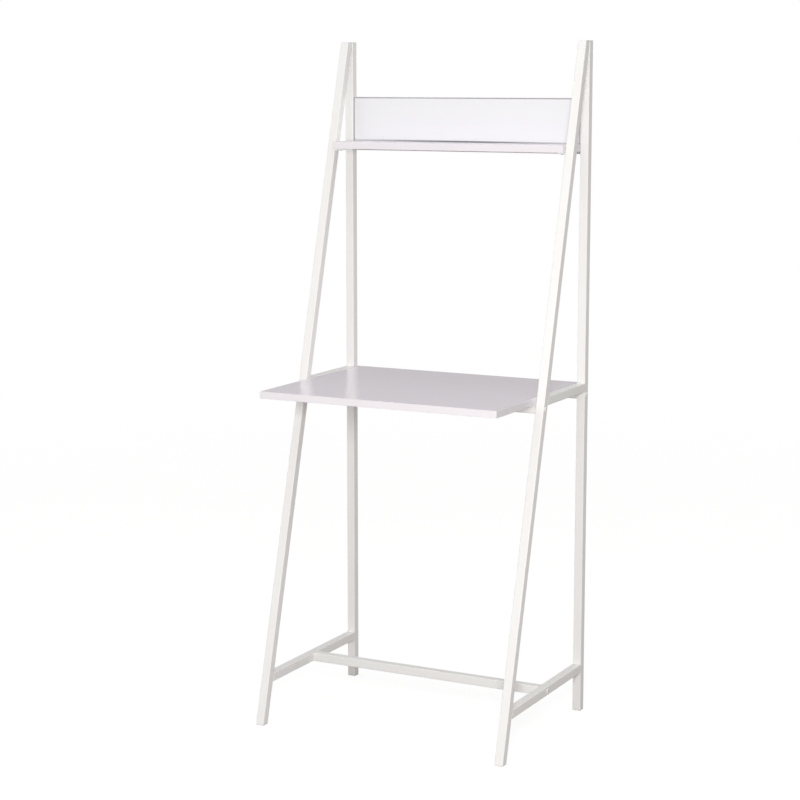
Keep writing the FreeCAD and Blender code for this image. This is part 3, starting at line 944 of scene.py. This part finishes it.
def shelf_screw_seats():
    """Head seats under the shelf tabs."""
    seats = []
    for side_name in SIDES:
        seat = box_middle(f"{side_name}_shelf_tab")
        seat.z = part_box(f"{side_name}_shelf_tab")[0].z
        seats.append(seat)
    return seats


def panel_screw_seats():
    """Head seats behind the panel tabs."""
    seats = []
    for side_name in SIDES:
        low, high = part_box(f"{side_name}_panel_tabs")
        for bottom, top in tab_heights(side_name):
            seats.append(Vector(((low.x + high.x) / 2, high.y, (bottom + top) / 2)))
    return seats


def shelf_back_seats():
    """Head seats on the back of the panel, in line with the shelf."""
    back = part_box("back_panel")[1].y
    height = box_middle("upper_shelf").z
    return [Vector((share * INNER_HALF, back, height)) for share in SHELF_BACK_SHARES]


class AddLegs(bpy.types.Operator):
    """Add the four leg tubes."""

    bl_idname = "ladder_desk.add_legs"
    bl_label = "Legs"

    def execute(self, context):
        tube = context.scene.ladder_desk.tube
        for side_name in SIDES:
            for leg_name in LEGS:
                node = f"{side_name}_{leg_name}_leg"
                bm = leg_tube(tube, node, LEG_SHAPES[leg_name])
                add_piece(context, f"{node}_tube", bm, "white_powder_coat", "frame_coating", node)
        return {"FINISHED"}


class AddPlugs(bpy.types.Operator):
    """Add the plastic plugs at both ends of every leg."""

    bl_idname = "ladder_desk.add_plugs"
    bl_label = "Plugs"

    def execute(self, context):
        tube = context.scene.ladder_desk.tube
        for side_name in SIDES:
            for leg_name in LEGS:
                self.add_pair(context, tube, f"{side_name}_{leg_name}", leg_name)
        return {"FINISHED"}

    def add_pair(self, context, tube, stem, leg_name):
        """Add the foot and the top plug of one leg."""
        low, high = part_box(f"{stem}_leg")
        x = (low.x + high.x) / 2
        for node, turned in ((f"{stem}_foot", Matrix.Identity(4)), (f"{stem}_top_plug", UPSIDE_DOWN)):
            plug_low, plug_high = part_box(node)
            upward = turned is not UPSIDE_DOWN
            flange = low.z - plug_low.z if upward else plug_high.z - high.z
            face = plug_low.z if upward else plug_high.z
            bm = end_plug(tube, flange, plug_high.z - plug_low.z - flange)
            spot = Matrix.Translation((x, leg_middle(leg_name, face), face))
            place(bm, spot, LEG_SHAPES[leg_name], turned)
            add_piece(context, f"{node}_moulding", bm, "white_moulded_plastic", "plug_plastic", node)


class AddRails(bpy.types.Operator):
    """Add the side rails and the cross tubes."""

    bl_idname = "ladder_desk.add_rails"
    bl_label = "Rails and cross tubes"

    def execute(self, context):
        tube = context.scene.ladder_desk.tube
        nodes = {f"{side_name}_{rail}_rail": side_rail for side_name in SIDES for rail in RAILS}
        nodes.update({node: cross_tube for node in CROSS_TUBES})
        for node, make in nodes.items():
            bm = make(tube, node)
            add_piece(context, f"{node}_tube", bm, "white_powder_coat", "frame_coating", node)
        return {"FINISHED"}


class AddWelds(bpy.types.Operator):
    """Add the rippled weld beads of both side frames."""

    bl_idname = "ladder_desk.add_welds"
    bl_label = "Welds"

    def execute(self, context):
        tube = context.scene.ladder_desk.tube
        for side_name, side in SIDES.items():
            node = f"{side_name}_frame_welds"
            bm = bmesh.new()
            for rail in RAILS:
                rail_welds(bm, tube, f"{side_name}_{rail}_rail")
            top_seam(bm, tube, box_middle(f"{side_name}_rear_leg").x)
            tab_welds(bm, tube, side_name, side)
            add_piece(context, f"{side_name}_frame_weld_beads", bm, "coated_weld", "frame_coating", node)
        return {"FINISHED"}


class AddTabs(bpy.types.Operator):
    """Add the steel tabs under the shelf and behind the back panel."""

    bl_idname = "ladder_desk.add_tabs"
    bl_label = "Tabs"

    def execute(self, context):
        board = context.scene.ladder_desk.board
        for side_name, side in SIDES.items():
            node = f"{side_name}_shelf_tab"
            bm = bmesh.new()
            tab(bm, board, *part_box(node), side, Z)
            break_edges(bm, board, Z)
            add_piece(context, f"{node}_plate", bm, "white_powder_coat", "frame_coating", node)
            node = f"{side_name}_panel_tabs"
            low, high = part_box(node)
            bm = bmesh.new()
            for bottom, top in tab_heights(side_name):
                tab(bm, board, Vector((low.x, low.y, bottom)), Vector((high.x, high.y, top)), side, Y)
            break_edges(bm, board, Y)
            add_piece(context, f"{node}_plates", bm, "white_powder_coat", "frame_coating", node)
        return {"FINISHED"}


class AddBoards(bpy.types.Operator):
    """Add the desk board, the upper shelf and the back panel with their edge bands."""

    bl_idname = "ladder_desk.add_boards"
    bl_label = "Boards"

    def execute(self, context):
        board = context.scene.ladder_desk.board
        for core, bands in BOARDS.items():
            bm = faced_board(board, *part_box(core))
            kind = "white_melamine"
            if core == "back_panel":
                # Painted shade where the shelf meets the panel and below the shelf.
                paint_joint_shade(bm, board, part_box("upper_shelf")[1].z)
                kind = "panel_melamine"
            add_piece(context, f"{core}_board", bm, kind, "white_board", core)
            bm = bmesh.new()
            edge_strips(bm, board, core, bands)
            add_piece(context, f"{bands}_strips", bm, "white_edge_band", "edge_band_plastic", bands)
        return {"FINISHED"}


class AddBolts(bpy.types.Operator):
    """Add the bolts that hold the cross tubes, and finish the blocks they are driven into."""

    bl_idname = "ladder_desk.add_bolts"
    bl_label = "Bolts"

    def execute(self, context):
        fastener = context.scene.ladder_desk.fastener
        for cross_name in CROSS_TUBES:
            node = f"{cross_name}_bolts"
            low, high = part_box(node)
            middle = (low + high) / 2
            bm = bmesh.new()
            for side in SIDES.values():
                one = bolt(fastener, high.x - OUTER_HALF)
                set_out(one, [Vector((side * OUTER_HALF, middle.y, middle.z))], RIGHT * -side)
                join(bm, one)
            add_piece(context, f"{node}_set", bm, "white_bolt_coat", "bolt_coating", node)
            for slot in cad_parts[f"{cross_name}_nut_blocks"].material_slots:
                slot.material = desk_finish(context, "drawn_steel")
        return {"FINISHED"}


class AddScrews(bpy.types.Operator):
    """Add the screws under the desk board and shelf and behind the back panel."""

    bl_idname = "ladder_desk.add_screws"
    bl_label = "Screws"

    def execute(self, context):
        fastener = context.scene.ladder_desk.fastener
        groups = {
            "desk_screws": (desk_screw_seats(), UP),
            "shelf_screws": (shelf_screw_seats(), UP),
            "shelf_back_screws": (shelf_back_seats(), BACK * -1),
            "panel_screws": (panel_screw_seats(), BACK * -1),
        }
        for node, (seats, direction) in groups.items():
            reach = abs(box_size(node).dot(direction))
            bm = wood_screw(fastener, reach - fastener.screw_height)
            set_out(bm, seats, direction)
            add_piece(context, f"{node}_set", bm, "zinc_screw", "screw_steel", node)
        return {"FINISHED"}


def pale_floor(stage):
    """Floor: pale to the eye and fading to white, and dimmer in the light that it throws back."""
    material, shade = new_finish("pale_floor")
    point = shade.node("ShaderNodeTexCoord", None, None, "Object")
    distance = shade.node("ShaderNodeVectorMath", {"operation": "LENGTH"}, {0: point}, "Value")
    far = shade.between(stage.fade_start, stage.fade_end, distance)
    dark = shade.node("ShaderNodeBsdfDiffuse", None, {"Color": stage.floor_dark})
    light = shade.node("ShaderNodeBsdfDiffuse", None, {"Color": stage.floor_light})
    matt = shade.node("ShaderNodeMixShader", None, {0: shade.pattern("floor grain"), 1: dark, 2: light})
    glow = shade.node("ShaderNodeEmission", None, {"Strength": stage.floor_glow})
    near = shade.node("ShaderNodeAddShader", None, {0: matt, 1: glow})
    white = shade.node("ShaderNodeEmission", None, {"Strength": 1.0})
    seen = shade.node("ShaderNodeMixShader", None, {0: far, 1: near, 2: white})
    dim = shade.node("ShaderNodeBsdfDiffuse", None, {"Color": stage.floor_bounce})
    eye = shade.node("ShaderNodeLightPath", None, None, "Is Camera Ray")
    show(shade, shade.node("ShaderNodeMixShader", None, {0: eye, 1: dim, 2: seen}))
    return material


def room_light(stage, world):
    """Soft room light that is brightest overhead, with a white background."""
    world.use_nodes = True
    world.node_tree.nodes.clear()
    shade = Shade(world.node_tree)
    point = shade.node("ShaderNodeTexCoord", None, None, "Generated")
    height = shade.node("ShaderNodeSeparateXYZ", None, {0: point}, "Z")
    rise = shade.between(0.0, OVERHEAD, height)
    strength = stage.horizon + rise * (stage.zenith - stage.horizon)
    room = shade.node("ShaderNodeBackground", None, {"Color": stage.room, "Strength": strength})
    white = shade.node("ShaderNodeBackground", None, {"Color": WHITE, "Strength": 1.0})
    eye = shade.node("ShaderNodeLightPath", None, None, "Is Camera Ray")
    mixed = shade.node("ShaderNodeMixShader", None, {0: eye, 1: room, 2: white})
    shade.node("ShaderNodeOutputWorld", None, {"Surface": mixed})


def soft_light(context, name, spot, power, side):
    """A square soft light that faces the middle of the desk."""
    light = bpy.data.lights.new(name, "AREA")
    light.energy = power
    light.size = side
    lamp = bpy.data.objects.new(name, light)
    lamp.location = spot
    aim = Vector((0, 0, box_middle("left_rear_leg").z)) - lamp.location
    lamp.rotation_euler = aim.to_track_quat("-Z", "Y").to_euler()
    lamp.visible_camera = False
    context.scene.collection.objects.link(lamp)


class AddStage(bpy.types.Operator):
    """Add the floor, the soft lights, the room light and the camera."""

    bl_idname = "ladder_desk.add_stage"
    bl_label = "Stage"

    def execute(self, context):
        scene = context.scene
        stage = scene.ladder_desk.stage
        self.add_floor(context, stage)
        scene.world = scene.world or bpy.data.worlds.new("Room")
        room_light(stage, scene.world)
        soft_light(context, "key_light", stage.key_place, stage.key_power, stage.key_side)
        soft_light(context, "fill_light", stage.fill_place, stage.fill_power, stage.light_side)
        soft_light(context, "top_light", stage.top_place, stage.top_power, stage.light_side)
        self.add_camera(scene, stage)
        scene.view_settings.view_transform = "Standard"
        return {"FINISHED"}

    def add_floor(self, context, stage):
        """Add the round floor under the desk."""
        bm = bmesh.new()
        bmesh.ops.create_circle(bm, cap_ends=True, segments=FLOOR_STEPS, radius=stage.floor_radius)
        mesh = bpy.data.meshes.new("floor")
        bm.to_mesh(mesh)
        bm.free()
        mesh.materials.append(pale_floor(stage))
        floor = bpy.data.objects.new("floor", mesh)
        context.scene.collection.objects.link(floor)

    def add_camera(self, scene, stage):
        """Add the camera and make it the scene's own."""
        lens = bpy.data.cameras.new("camera")
        lens.lens = stage.lens
        camera = bpy.data.objects.new("camera", lens)
        camera.location = stage.camera_place
        camera.rotation_euler = (math.pi / 2 + stage.camera_tilt, 0, stage.camera_turn)
        scene.collection.objects.link(camera)
        scene.camera = camera


PIECE_OPERATORS = (AddLegs, AddPlugs, AddRails, AddWelds, AddTabs, AddBoards, AddBolts, AddScrews, AddStage)
GROUPS = (TubeSizes, BoardSizes, FastenerSizes, Finishes, StageSettings, DeskSettings)


class DeskPanel(bpy.types.Panel):
    """Sizes and finishes of the ladder desk, with the steps that build it."""

    bl_idname = "VIEW3D_PT_ladder_desk"
    bl_label = "Ladder Desk"
    bl_space_type = "VIEW_3D"
    bl_region_type = "UI"
    bl_category = "Ladder Desk"

    def draw(self, context):
        settings = context.scene.ladder_desk
        for group in (settings.tube, settings.board, settings.fastener, settings.finish, settings.stage):
            column = self.layout.column(align=True)
            for name in group.bl_rna.properties.keys():
                if name not in {"rna_type", "name"}:
                    column.prop(group, name)
        for step in PIECE_OPERATORS:
            self.layout.operator(step.bl_idname)


def register():
    for item in (*GROUPS, *PIECE_OPERATORS, DeskPanel):
        bpy.utils.register_class(item)
    bpy.types.Scene.ladder_desk = PointerProperty(type=DeskSettings)


def unregister():
    del bpy.types.Scene.ladder_desk
    for item in reversed((*GROUPS, *PIECE_OPERATORS, DeskPanel)):
        bpy.utils.unregister_class(item)


def main():
    register()
    bpy.ops.ladder_desk.add_legs()
    bpy.ops.ladder_desk.add_plugs()
    bpy.ops.ladder_desk.add_rails()
    bpy.ops.ladder_desk.add_welds()
    bpy.ops.ladder_desk.add_tabs()
    bpy.ops.ladder_desk.add_boards()
    bpy.ops.ladder_desk.add_bolts()
    bpy.ops.ladder_desk.add_screws()
    bpy.ops.ladder_desk.add_stage()


if __name__ == "__main__":
    main()
